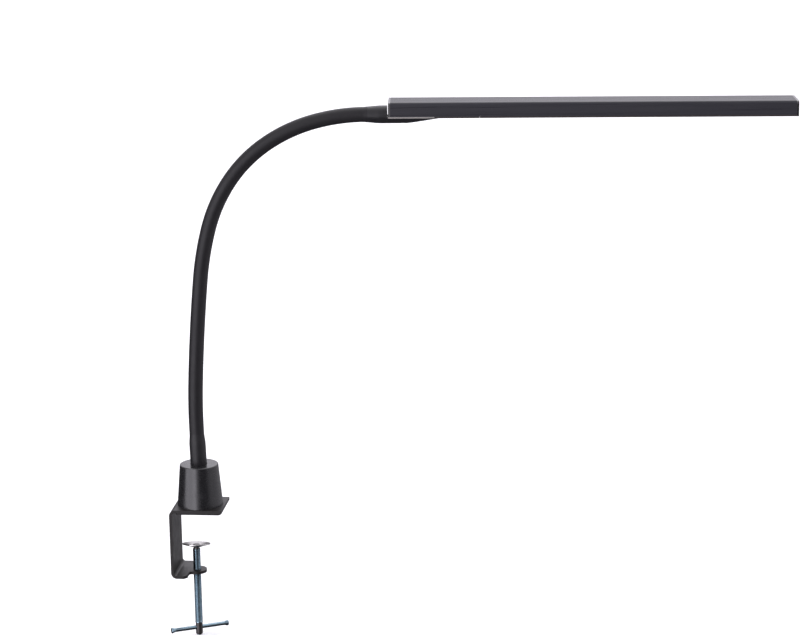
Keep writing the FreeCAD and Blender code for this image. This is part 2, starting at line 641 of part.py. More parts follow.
def strip_section(thick):
    """Section of a strip under the bar: a plate as wide as the bar, and a rib that hooks in the slots."""
    half = "bar_width / 2"
    lip = "(bar_width / 2 - bar_wall - slot_depth - slide_clear)"
    wall = "(bar_width / 2 - bar_wall - slide_clear)"
    plate = UNDER + " + strip_thick - strip_clear"
    low = UNDER + " + strip_thick + slot_height + slide_clear"
    high = UNDER + " + strip_thick + slot_height + slot_thick - slide_clear"
    top = UNDER + " + " + thick
    return [("-" + half, UNDER), (half, UNDER), (half, plate), (lip, plate), (lip, low), (wall, low),
            (wall, high), (lip, high), (lip, top), ("-" + lip, top), ("-" + lip, high), ("-" + wall, high),
            ("-" + wall, low), ("-" + lip, low), ("-" + lip, plate), ("-" + half, plate)]


def make_mount_plate():
    """Plate that the tongue is screwed to; it runs on under the left end cap."""
    body = new_body("mount")
    section = new_sketch(body, "YZ_Plane", "mount_section", INSIDE)
    draw_outline(section, strip_section("cover_thick"))
    pad(body, section, "mount_length")
    half = "bar_width / 2"
    plate = UNDER + " + strip_thick - strip_clear"
    under_cap = new_sketch(body, "YZ_Plane", "under_cap", BAR_START)
    draw_outline(under_cap, [("-" + half, UNDER), (half, UNDER), (half, plate), ("-" + half, plate)])
    pad(body, under_cap, "cap_thick")
    cuts = [cylinder("mount_lead_hole", "channel_width / 2", "cover_thick * 2",
                     at("channel_end - channel_width / 2", 0, UNDER + " - 1"))]
    for index in range(2):
        cuts.append(cylinder("mount_thread_%d" % index, "head_screw_radius", "cover_thick * 2",
                             at("head_screw_place + %d * head_screw_pitch" % index, 0, UNDER + " - 1")))
    keep("mount_plate", cut("mount_cut", body, cuts), head)


def make_switch_cover():
    """Short strip between the mount plate and the diffuser, which holds the button."""
    blank = extruded("cover", "YZ_Plane", strip_section("cover_thick"), "switch_cover_length", SWITCH_START)
    keep("switch_cover", cut("cover_cut", blank, [
        cylinder("button_hole", "button_radius + button_clear", "cover_thick",
                 at(BUTTON_PLACE, 0, UNDER + " - 1")),
        cylinder("button_well", "button_flange + button_clear * 2", "cover_thick",
                 at(BUTTON_PLACE, 0, UNDER + " + button_ledge"))]), head)


def make_light():
    """Diffuser, light board and its row of chips."""
    rib = "strip_thick + slot_height + slot_thick"
    keep("diffuser", extruded("diffuser_strip", "YZ_Plane", strip_section(rib),
                              LIGHT_LENGTH, LIGHT_START), head)
    start = LIGHT_START + " + board_margin"
    length = LIGHT_LENGTH + " - 2 * board_margin"
    low = UNDER + " + web_height - slide_clear - board_thick"
    keep("led_board", box("led_strip", length, "board_width", "board_thick", at(start, 0, low)), head)
    chips = []
    count = int(value(length) // value("chip_pitch"))
    for index in range(count):
        place = start + " + (%d + 0.5) * chip_pitch - chip_long / 2" % index
        chips.append(box("led_chip_%d" % index, "chip_long", "chip_wide", "chip_thick",
                         at(place, 0, low + " - chip_thick")))
    keep("led_chips", group("led_chip_row", chips), head)


def make_driver():
    """Dimmer electronics on the web, inside the upper chamber."""
    start = BAR_START + " + driver_place"
    low = UNDER + " + web_height + web_thick + driver_lift"
    board = box("driver_plate", "driver_length", "driver_width", "board_thick", at(start, 0, low))
    keep("driver_board", board, head)
    top = low + " + board_thick"
    parts = [
        cylinder("driver_coil", "coil_radius", "coil_height", at(start + " + driver_length / 4", 0, top)),
        box("driver_control", "driver_chip", "driver_chip", "driver_chip_thick",
            at(start + " + driver_length / 2", 0, top)),
        box("driver_switch", "driver_chip", "driver_chip", "driver_chip_thick",
            at(start + " + driver_length * 3 / 4", 0, top))]
    keep("driver_parts", group("driver_part_set", parts), head)


def make_button():
    """Push button in the cover, with the switch that it presses."""
    flange_low = "button_ledge + button_rest_gap"
    flange_high = flange_low + " + button_flange_thick"
    keep("dimmer_button", turned("button", [
        ("0", "-button_proud"), ("button_radius", "-button_proud", "button_proud / 2"),
        ("button_radius", flange_low), ("button_flange", flange_low), ("button_flange", flange_high),
        ("0", flange_high)]), upright(BUTTON_PLACE, UNDER))
    plunger_low = flange_high + " + button_travel + button_rest_gap"
    body_low = plunger_low + " + plunger_length"
    board_low = "web_height - slide_clear - switch_board_thick"
    body = box("switch_case", "switch_side", "switch_side", board_low + " - (" + body_low + ")",
               at("-switch_side / 2", 0, body_low))
    plunger = cylinder("switch_plunger", "plunger_radius", "plunger_length * 2", at(z=plunger_low))
    keep("dimmer_switch", joined("switch", [body, plunger]), upright(BUTTON_PLACE, UNDER))
    keep("switch_board", box("switch_plate", "switch_board_side", "switch_board_side",
                             "switch_board_thick", at("-switch_board_side / 2", 0, board_low)),
         upright(BUTTON_PLACE, UNDER))


# ---- spindle, tommy bar and foot ----

FOOT_TOP = "(-foot_drop - foot_dish)"
SPINDLE_TOP = "(-foot_drop - foot_dish - foot_thick - foot_play - rivet_collar_thick)"
TOMMY_PLACE = "(-spindle_length - tommy_place)"


def make_spindle():
    """Spindle with its hub, bored at the top for the rivet and across the hub for the tommy bar."""
    body = turned("spindle_rod", [
        ("0", "-rivet_bore"), ("rivet_radius + rivet_clear", "-rivet_bore"),
        ("rivet_radius + rivet_clear", "0"), ("spindle_radius", "0", "spindle_round"),
        ("spindle_radius", "-spindle_length"), ("hub_radius", "-spindle_length"),
        ("hub_radius", "-spindle_length - hub_length", "hub_round"),
        ("0", "-spindle_length - hub_length")])
    across = Rotation(Vector(0, 0, 1), value("tommy_turn")).multiply(Rotation(Vector(0, 1, 0), 90))
    hole_place = Placement(Vector(0, 0, value(TOMMY_PLACE)), across)
    hole = cylinder("tommy_hole", "tommy_radius + tommy_clear", "hub_radius * 4",
                    hole_place.multiply(at(z="-hub_radius * 2")))
    keep("clamp_spindle", cut("spindle", body, [hole]), screw_line.multiply(at(z=SPINDLE_TOP)))
    half = "tommy_length / 2"
    neck = "tommy_length / 2 - tommy_end_length"
    tommy = turned("tommy_rod", [
        ("0", "-" + half), ("tommy_end_radius", "-" + half, "tommy_radius / 2"),
        ("tommy_end_radius", "-(" + neck + ")"), ("tommy_radius", "-(" + neck + ") + tommy_radius / 2"),
        ("tommy_radius", neck + " - tommy_radius / 2"), ("tommy_end_radius", neck),
        ("tommy_end_radius", half, "tommy_radius / 2"), ("0", half)])
    rest = screw_line.multiply(at(z=SPINDLE_TOP)).multiply(hole_place)
    keep("tommy_bar", tommy, rest.multiply(at(z="tommy_offset")))


def make_foot():
    """Dished disc that swivels on a rivet in the spindle's end."""
    rivet_corners = [
        ("0", "-rivet_tail"), ("rivet_radius", "-rivet_tail"), ("rivet_radius", "0"),
        ("rivet_collar_radius", "0"), ("rivet_collar_radius", "rivet_collar_thick"),
        ("rivet_radius", "rivet_collar_thick"),
        ("rivet_radius", "rivet_collar_thick + foot_thick + 2 * foot_play"),
        ("rivet_head_radius", "rivet_collar_thick + foot_thick + 2 * foot_play"),
        ("rivet_head_radius", "rivet_collar_thick + foot_thick + 2 * foot_play + rivet_head_thick",
         "rivet_head_thick * 0.7"),
        ("0", "rivet_collar_thick + foot_thick + 2 * foot_play + rivet_head_thick")]
    keep("foot_rivet", turned("rivet", rivet_corners), screw_line.multiply(at(z=SPINDLE_TOP)))
    disc_corners = [
        ("foot_hole", "-foot_thick / 2"), ("foot_flat", "-foot_thick / 2", "foot_flat"),
        ("foot_radius", "foot_dish - foot_thick / 2"), ("foot_radius", "foot_dish + foot_thick / 2"),
        ("foot_flat", "foot_thick / 2", "foot_flat"), ("foot_hole", "foot_thick / 2")]
    keep("foot_disc", turned("disc", disc_corners),
         screw_line.multiply(at(z=FOOT_TOP + " - foot_thick / 2", axis=(1, 0, 0), angle="-foot_lean")))


def check_and_write():
    """Stop on any failed object or bad shape, then write one STEP file for each node."""
    doc.recompute()
    for thing in doc.Objects:
        if "Invalid" in thing.State or "Error" in thing.State:
            raise RuntimeError("%s failed: %s" % (thing.Label, thing.State))
    os.makedirs("parts", exist_ok=True)
    for label, thing in nodes.items():
        shape = thing.Shape
        if shape.isNull() or not shape.isValid() or not shape.Solids:
            raise RuntimeError("%s has no valid solid" % label)
    for label, thing in nodes.items():
        thing.Shape.exportStep(os.path.join("parts", label + ".step"))
        print("%-18s %2d solid(s) %10.1f mm3" % (label, len(thing.Shape.Solids), thing.Shape.Volume))


make_bracket()
make_pad()
make_cone_screws()
make_cone()
make_inlet()
make_ferrule()
make_links()
make_socket()
make_profile()
make_caps()
make_mount_plate()
make_switch_cover()
make_light()
make_driver()
make_button()
make_spindle()
make_foot()
check_and_write()
for number, joint in enumerate(joints, start=1):
    print("neck joint %d at x %.3f z %.3f mm, heading %.2f degrees from up" % (
        number, joint.Base.x, joint.Base.z,
        math.degrees(math.atan2(*joint.Rotation.multVec(Vector(0, 0, 1))[0:3:2]))))
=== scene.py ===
"""Clip-on reading lamp: the looks of its screw clamp, gooseneck and light bar.

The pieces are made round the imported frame.

Lengths are in metres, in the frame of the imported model: the origin is the middle of the pad's
underside, +Z is up, +X runs along the light bar and +Y points away from the user.
"""
from __future__ import annotations

import logging
import math
from dataclasses import dataclass, field
from enum import Enum

import bpy
import numpy as np
from mathutils import Matrix, Vector


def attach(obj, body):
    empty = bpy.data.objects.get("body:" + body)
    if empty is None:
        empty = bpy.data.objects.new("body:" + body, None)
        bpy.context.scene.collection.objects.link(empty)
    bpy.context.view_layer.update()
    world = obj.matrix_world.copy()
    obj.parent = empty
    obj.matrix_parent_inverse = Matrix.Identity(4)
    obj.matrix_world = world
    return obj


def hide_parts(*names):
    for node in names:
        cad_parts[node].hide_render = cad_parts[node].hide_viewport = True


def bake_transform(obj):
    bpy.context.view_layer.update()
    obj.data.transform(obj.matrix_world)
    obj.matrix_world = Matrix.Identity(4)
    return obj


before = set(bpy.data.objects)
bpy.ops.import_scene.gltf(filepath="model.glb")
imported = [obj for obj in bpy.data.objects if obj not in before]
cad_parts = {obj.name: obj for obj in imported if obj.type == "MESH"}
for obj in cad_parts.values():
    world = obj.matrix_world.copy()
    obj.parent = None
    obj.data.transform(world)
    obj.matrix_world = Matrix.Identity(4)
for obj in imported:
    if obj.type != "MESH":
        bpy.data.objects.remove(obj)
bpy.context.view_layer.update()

MM = 0.001
ARC_STEPS = 6            # parts of each rounded corner
CREASE = 35.0            # degrees from which an edge stays sharp
BEVEL_ANGLE = 32.0       # degrees from which an edge is broken
DRAWN_STRETCH = 0.012    # scale of a drawn grain along its way, as a share of that across it
TURNED_STRETCH = 0.06    # the same for a turned grain, in X and Y
MOTTLE_DETAIL, GRAIN_DETAIL = 4.0, 3.0    # octaves of the two noises
NOISE_LOW, NOISE_HIGH = 0.7, 1.3    # nearly all of the sum of both noises lies between these
LEAST_ROUGH = 0.03       # no finish gets smoother than this
LOG = logging.getLogger("reading_lamp")

Triple = tuple[float, float, float]


# ---- names ----

class Body(Enum):
    """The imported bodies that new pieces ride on, apart from the links of the gooseneck."""

    CLAMP = "clamp"
    HEAD = "head"
    FOOT = "foot"
    SPINDLE = "spindle"
    TOMMY = "tommy"


class Grain(Enum):
    """How a finish's fine relief runs."""

    SPECKLE = "speckle"
    DRAWN_X = "drawn along X"
    TURNED = "turned round Z"


# ---- finishes ----

@dataclass(frozen=True)
class Finish:
    """One surface finish, made as a node material on Object coordinates.

    The colour wanders round its middle value with a soft noise, the roughness with that noise
    and a fine one together, and the relief is the fine noise through a Bump node. Both noises are
    stretched along the way the grain runs. A rim below 1, set on Specular Tint, dims a metal's
    reflection at glancing angles: painted shade on its edges, where they would reflect dark
    surroundings.

    Attributes:
        rough, rough_spread: middle of the roughness, and how far it goes from there.
        grain_size, mottle_size: width of the fine and of the soft noise, in metres.
        mottle: share by which the colour wanders.
        relief, relief_depth: strength and depth of the bumps.
    """

    name: str
    colour: Triple
    rough: float
    metal: float = 0.0
    grain: Grain = Grain.SPECKLE
    grain_size: float = 0.0006
    relief: float = 0.2
    relief_depth: float = 0.00003
    mottle: float = 0.12
    mottle_size: float = 0.012
    rough_spread: float = 0.08
    coat: float = 0.0
    coat_rough: float = 0.2
    specular: float = 0.5
    rim: float = 1.0

    def stretch(self) -> Triple:
        """Scale of the grain noise along X, Y and Z."""
        fine = 1.0 / self.grain_size
        return {
            Grain.SPECKLE: (fine, fine, fine),
            Grain.DRAWN_X: (fine * DRAWN_STRETCH, fine, fine),
            Grain.TURNED: (fine * TURNED_STRETCH, fine * TURNED_STRETCH, fine),
        }[self.grain]

    def build(self) -> bpy.types.Material:
        """Make the node material.

        Returns:
            The new material, named after the finish.
        """
        material = bpy.data.materials.new(self.name)
        material.use_nodes = True
        tree = material.node_tree
        nodes, links = tree.nodes, tree.links
        shader = nodes["Principled BSDF"]
        shader.inputs["Metallic"].default_value = self.metal
        shader.inputs["Specular IOR Level"].default_value = self.specular
        # a rim below 1 paints shade on the metal's glancing reflections at its edges
        shader.inputs["Specular Tint"].default_value = (self.rim, self.rim, self.rim, 1.0)
        shader.inputs["Coat Weight"].default_value = self.coat
        shader.inputs["Coat Roughness"].default_value = self.coat_rough
        where = nodes.new("ShaderNodeTexCoord")

        mottle = nodes.new("ShaderNodeTexNoise")
        mottle.inputs["Scale"].default_value = self.grain_size / self.mottle_size
        mottle.inputs["Detail"].default_value = MOTTLE_DETAIL
        tone = nodes.new("ShaderNodeMix")
        tone.data_type = "RGBA"
        low = [c * (1 - self.mottle) for c in self.colour] + [1.0]
        high = [min(1.0, c * (1 + self.mottle)) for c in self.colour] + [1.0]
        tone.inputs["A"].default_value = low
        tone.inputs["B"].default_value = high
        links.new(mottle.outputs["Fac"], tone.inputs["Factor"])
        links.new(tone.outputs["Result"], shader.inputs["Base Color"])

        place = nodes.new("ShaderNodeMapping")
        place.inputs["Scale"].default_value = self.stretch()
        links.new(where.outputs["Object"], place.inputs["Vector"])
        links.new(place.outputs["Vector"], mottle.inputs["Vector"])
        grain = nodes.new("ShaderNodeTexNoise")
        grain.inputs["Scale"].default_value = 1.0
        grain.inputs["Detail"].default_value = GRAIN_DETAIL
        links.new(place.outputs["Vector"], grain.inputs["Vector"])

        both = nodes.new("ShaderNodeMath")
        both.operation = "ADD"
        links.new(grain.outputs["Fac"], both.inputs[0])
        links.new(mottle.outputs["Fac"], both.inputs[1])
        rough = nodes.new("ShaderNodeMapRange")
        rough.inputs["From Min"].default_value = NOISE_LOW
        rough.inputs["From Max"].default_value = NOISE_HIGH
        smooth, dull = self.rough - self.rough_spread, self.rough + self.rough_spread
        rough.inputs["To Min"].default_value = max(LEAST_ROUGH, smooth)
        rough.inputs["To Max"].default_value = min(1.0, dull)
        links.new(both.outputs["Value"], rough.inputs["Value"])
        links.new(rough.outputs["Result"], shader.inputs["Roughness"])
        bump = nodes.new("ShaderNodeBump")
        bump.inputs["Strength"].default_value = self.relief
        bump.inputs["Distance"].default_value = self.relief_depth
        links.new(grain.outputs["Fac"], bump.inputs["Height"])
        links.new(bump.outputs["Normal"], shader.inputs["Normal"])
        return material


class Finishes:
    """Every finish of the lamp by name, built when it is first asked for.

    Most are named after the record's slot that they belong to.
    """

    TABLE = {finish.name: finish for finish in (
        Finish("strap_black", (0.0095, 0.0082, 0.0078), 0.42, grain_size=0.0009,
               relief=0.5, relief_depth=0.00006, mottle=0.25, specular=0.28),
        Finish("pad_rubber", (0.013, 0.012, 0.012), 0.75, relief=0.5),
        Finish("cone_black", (0.009, 0.0088, 0.01), 0.25, grain_size=0.0008,
               relief=0.45, relief_depth=0.00005, rough_spread=0.1, specular=0.65),
        # zinc_plate and bright_steel take a low rim: painted shade on their edges
        Finish("zinc_plate", (0.22, 0.3, 0.35), 0.14, metal=1.0, grain_size=0.0007,
               relief=0.12, mottle=0.25, mottle_size=0.004, rough_spread=0.07,
               rim=0.1),
        Finish("bright_steel", (0.58, 0.57, 0.56), 0.24, metal=1.0,
               grain=Grain.TURNED, relief=0.15, mottle=0.08, rim=0.35),
        Finish("inlet_black", (0.014, 0.014, 0.014), 0.4),
        Finish("fitting_black", (0.0115, 0.011, 0.0125), 0.42, relief=0.2,
               specular=0.3),
        Finish("neck_cover", (0.0115, 0.0108, 0.0125), 0.46, relief=0.3, mottle=0.1,
               specular=0.25),
        Finish("hose_steel", (0.5, 0.5, 0.5), 0.35, metal=1.0),
        Finish("lead_black", (0.014, 0.014, 0.014), 0.5),
        Finish("socket_black", (0.0115, 0.011, 0.013), 0.38, relief=0.25,
               specular=0.35),
        Finish("bar_black", (0.02, 0.0195, 0.0245), 0.33, grain=Grain.DRAWN_X,
               grain_size=0.0007, relief=0.5, relief_depth=0.00004, mottle=0.25,
               mottle_size=0.003, rough_spread=0.12, specular=0.29),
        Finish("cap_black", (0.01, 0.0095, 0.011), 0.16, relief=0.1, rough_spread=0.05,
               specular=1.0, coat=1.0, coat_rough=0.08),
        Finish("cover_black", (0.016, 0.012, 0.011), 0.4),
        Finish("mount_alloy", (0.36, 0.345, 0.33), 0.38, metal=1.0,
               grain=Grain.DRAWN_X, relief=0.3),
        Finish("diffuser_white", (0.86, 0.86, 0.84), 0.4, grain_size=0.0012,
               relief=0.2, mottle=0.02),
        Finish("board_white", (0.8, 0.8, 0.8), 0.45, relief=0.1, mottle=0.03),
        Finish("chip_phosphor", (0.85, 0.72, 0.28), 0.35, relief=0.1),
        Finish("circuit_green", (0.03, 0.16, 0.06), 0.35, relief=0.1),
        Finish("part_black", (0.02, 0.02, 0.02), 0.45),
        Finish("button_grey", (0.18, 0.18, 0.2), 0.4),
        Finish("rivet_dark", (0.16, 0.155, 0.155), 0.3, metal=1.0,
               grain=Grain.TURNED, relief=0.2),
        # painted shade: dark brown for the diffuser's sides, which lie in shade
        Finish("painted_shade_brown", (0.02, 0.014, 0.012), 0.4),
        Finish("bearing_dark", (0.075, 0.07, 0.07), 0.45, metal=1.0,
               grain_size=0.0005, relief=0.6, relief_depth=0.00008, mottle=0.25),
    )}
    _built: dict[str, bpy.types.Material] = {}

    @classmethod
    def get(cls, name: str) -> bpy.types.Material:
        """The material of a finish, built once."""
        if name not in cls._built:
            cls._built[name] = cls.TABLE[name].build()
        return cls._built[name]


# ---- surfaces ----

@dataclass
class Surface:
    """Points and faces of one closed mesh.

    Attributes:
        points: array (n, 3).
        faces: lists of point numbers, in order round each face.
    """

    points: np.ndarray
    faces: list[list[int]]

    def __add__(self, other: Surface) -> Surface:
        """Both surfaces as one, side by side."""
        shift = len(self.points)
        moved = [[i + shift for i in face] for face in other.faces]
        return Surface(np.vstack([self.points, other.points]), self.faces + moved)


@dataclass
class Place:
    """A local frame: an origin, and its axes as the columns of a matrix."""

    origin: np.ndarray
    axes: np.ndarray = field(default_factory=lambda: np.eye(3))

    def carry(self, points: np.ndarray) -> np.ndarray:
        """Local points (..., 3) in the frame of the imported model."""
        return self.origin + points @ self.axes.T


def turned_about(axis: str, degrees: float) -> np.ndarray:
    """The matrix of a turn about X, Y or Z."""
    return np.array(Matrix.Rotation(math.radians(degrees), 3, axis))


def shell(rings: np.ndarray, looped: bool = False) -> Surface:
    """A closed surface through rings of points.

    Neighbouring rings are joined by four-sided faces. A looped surface joins its last ring to its
    first, as a tube with a wall does; any other is closed with one flat face at each end. Faces
    are turned outwards by the sign of the volume that they enclose.

    Args:
        rings: array (rings, points round, 3).
        looped: whether the last ring is joined to the first.

    Returns:
        The surface.
    """
    rows, columns, _ = rings.shape
    points = rings.reshape(-1, 3)
    last = rows if looped else rows - 1
    row, column = np.meshgrid(np.arange(last), np.arange(columns), indexing="ij")
    above, after = (row + 1) % rows, (column + 1) % columns
    quads = np.stack([row * columns + column, row * columns + after,
                      above * columns + after, above * columns + column], axis=-1).reshape(-1, 4)
    a, b, c, d = (points[quads[:, i]] for i in range(4))
    volume = (np.einsum("ij,ij->", np.cross(a, b), c) + np.einsum("ij,ij->", np.cross(a, c), d))
    ends = []
    if not looped:
        ends = [np.arange(columns)[::-1], (rows - 1) * columns + np.arange(columns)]
        for end in ends:
            ring = points[end]
            fan = np.cross(ring[1:-1], ring[2:])
            volume += float(np.einsum("ij,j->", fan, ring[0]))
    faces = [list(map(int, f)) for f in quads] + [list(map(int, f)) for f in ends]
    if volume < 0:
        faces = [face[::-1] for face in faces]
    return Surface(points, faces)


def rounded(corners: list[tuple[float, ...]], closed: bool = False) -> np.ndarray:
    """A line through corners, some of them rounded.

    A corner (a, b, r) is replaced by an arc of radius r that touches both its sides: the arc's
    centre lies on the corner's bisector, r over the sine of half the angle away.

    Args:
        corners: (a, b) or (a, b, radius) in order.
        closed: whether the last corner is joined to the first.

    Returns:
        Array (n, 2).
    """
    flat = [np.array(corner[:2], float) for corner in corners]
    line = []
    for i, corner in enumerate(corners):
        ending = not closed and i in (0, len(corners) - 1)
        if len(corner) < 3 or ending:
            line.append(flat[i][None])
            continue
        back = flat[i - 1] - flat[i]
        ahead = flat[(i + 1) % len(flat)] - flat[i]
        back, ahead = back / np.linalg.norm(back), ahead / np.linalg.norm(ahead)
        half = math.acos(float(np.clip(back @ ahead, -1, 1))) / 2
        middle = (back + ahead) / np.linalg.norm(back + ahead)
        centre = flat[i] + middle * corner[2] / math.sin(half)
        reach = corner[2] / math.tan(half)
        first, last = flat[i] + back * reach - centre, flat[i] + ahead * reach - centre
        share = np.linspace(0, 1, ARC_STEPS + 1)[:, None]
        sweep = math.pi - 2 * half
        arc = (np.sin((1 - share) * sweep) * first + np.sin(share * sweep) * last) / math.sin(sweep)
        line.append(centre + arc)
    return np.vstack(line)


def lathe(outline: np.ndarray, place: Place, around: int, looped: bool = False) -> Surface:
    """A surface of revolution: each (radius, height) of the outline becomes a ring about local Z.

    Args:
        outline: array (n, 2) of radius and height.
        place: the local frame.
        around: points in each ring.
        looped: whether the outline is a closed section that doesn't touch the axis.

    Returns:
        The surface.
    """
    angle = np.arange(around) / around * 2 * math.pi
    radius = np.maximum(outline[:, :1], 1e-5)
    rings = np.stack([radius * np.cos(angle), radius * np.sin(angle),
                      np.repeat(outline[:, 1:], around, axis=1)], axis=-1)
    return shell(place.carry(rings), looped)


def make_piece(name: str, surface: Surface, finish: str,
               crease: float = CREASE) -> bpy.types.Object:
    """Put a surface into the scene as a smooth-shaded mesh with sharp creases.

    Args:
        name: the piece's name.
        surface: its points and faces.
        finish: the finish it gets.
        crease: angle in degrees from which an edge stays sharp.

    Returns:
        The new object, at the origin.
    """
    mesh = bpy.data.meshes.new(name)
    mesh.from_pydata(surface.points.tolist(), [], surface.faces)
    mesh.update()
    mesh.shade_smooth()
    mesh.set_sharp_from_angle(angle=math.radians(crease))
    mesh.materials.append(Finishes.get(finish))
    piece = bpy.data.objects.new(name, mesh)
    bpy.context.scene.collection.objects.link(piece)
    return piece


def settle(piece: bpy.types.Object, body: Body, slot: str, *nodes: str) -> None:
    """Let a piece ride on a body in place of some nodes.

    Args:
        piece: the finished piece.
        body: what it rides on.
        slot: the record's slot that its finish belongs to; not used.
        nodes: the nodes that it stands for.
    """
    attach(piece, body.value)
    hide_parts(*nodes)
    LOG.info("%s on %s, %d faces", piece.name, body.value, len(piece.data.polygons))


def soften(piece: bpy.types.Object, width: float) -> None:
    """Merge a node's loose triangles and break its sharp edges with a small bevel.

    Args:
        piece: the node.
        width: the bevel's width in metres.
    """
    merge = piece.modifiers.new("merge", "WELD")
    merge.merge_threshold = 1e-6
    bevel = piece.modifiers.new("broken_edges", "BEVEL")
    bevel.width = width
    bevel.segments = 2
    bevel.limit_method = "ANGLE"
    bevel.angle_limit = math.radians(BEVEL_ANGLE)
    bevel.use_clamp_overlap = True
    even = piece.modifiers.new("even_shading", "WEIGHTED_NORMAL")
    even.keep_sharp = True
    even.weight = 60


def dress(node: str, finish: str, edge: float = 0.0) -> None:
    """Give a node its finish, in every material slot that it has, and break its edges.

    Args:
        node: the node's name.
        finish: the finish it gets.
        edge: width of its broken edges in metres; at nothing they stay sharp.
    """
    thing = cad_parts[node]
    if not thing.material_slots:
        thing.data.materials.append(None)
    for holder in thing.material_slots:
        holder.material = Finishes.get(finish)
    if edge:
        soften(thing, edge)
    LOG.info("%s keeps its shape, finished as %s", node, finish)


# ---- gooseneck ----

@dataclass
class NeckLine:
    """The gooseneck's middle line: a straight foot, then one arc for each link.

    Length along the line is counted from the first joint, so it is negative in the foot.

    Attributes:
        lean: degrees by which the foot leans towards -X.
        seat: height of the foot's lower end.
        foot: length of the foot.
        link: length of each link.
        bends: degrees that each link turns towards +X.
    """

    lean: float = 1.5
    seat: float = 36.0 * MM
    foot: float = 46.0 * MM
    link: float = 52.7 * MM
    bends: tuple[float, ...] = (4.5, 1.5, 1.5, 9.5, 19.0, 21.5, 19.0, 15.4)

    @property
    def joints(self) -> int:
        """How many joints the neck has: one before each link, and one after the last."""
        return len(self.bends) + 1

    def headings(self) -> np.ndarray:
        """Angle from up towards +X at each joint, in radians."""
        return np.radians(np.concatenate([[0.0], np.cumsum(self.bends)]) - self.lean)

    def corners(self) -> np.ndarray:
        """Array (joints, 2) of X and Z of each joint."""
        heading = self.headings()
        bend = np.radians(np.array(self.bends))
        reach = self.link / bend
        along, aside = reach * np.sin(bend), reach * (1 - np.cos(bend))
        h = heading[:-1]
        steps = np.stack([along * np.sin(h) + aside * np.cos(h),
                          along * np.cos(h) - aside * np.sin(h)], axis=1)
        first = np.array([[self.foot * math.sin(heading[0]),
                           self.seat + self.foot * math.cos(heading[0])]])
        return np.vstack([first, first + np.cumsum(steps, axis=0)])

    def trace(self, length: np.ndarray) -> tuple[np.ndarray, np.ndarray]:
        """Follow the line.

        Within a link of bend b the heading grows evenly with length, so the line is an arc of
        radius link / b; before the first and after the last joint it is straight.

        Args:
            length: lengths from the first joint.

        Returns:
            Points (n, 3), and the heading at each.
        """
        count = len(self.bends)
        index = np.clip(np.floor(length / self.link).astype(int), -1, count)
        start = np.clip(index, 0, count)
        curving = (index >= 0) & (index < count)
        bend = np.where(curving, np.radians(np.array(self.bends + (0.0,)))[start], 0.0)
        rest = length - start * self.link
        turn = bend * rest / self.link
        safe = np.where(curving, bend, 1.0)
        along = np.where(curving, self.link / safe * np.sin(turn), rest)
        aside = np.where(curving, self.link / safe * (1 - np.cos(turn)), 0.0)
        base, heading = self.corners()[start], self.headings()[start]
        x = base[:, 0] + along * np.sin(heading) + aside * np.cos(heading)
        z = base[:, 1] + along * np.cos(heading) - aside * np.sin(heading)
        return np.stack([x, np.zeros_like(x), z], axis=1), heading + turn

    def rings(self, length: np.ndarray, radius: np.ndarray, around: int) -> np.ndarray:
        """Rings of points square to the line, array (n, around, 3)."""
        middle, heading = self.trace(length)
        angle = np.arange(around) / around * 2 * math.pi
        across = np.stack([np.cos(heading), np.zeros_like(heading), -np.sin(heading)], axis=1)
        side = np.array([0.0, 1.0, 0.0])
        spoke = (np.cos(angle)[None, :, None] * across[:, None, :]
                 + np.sin(angle)[None, :, None] * side)
        return middle[:, None, :] + radius[:, None, None] * spoke


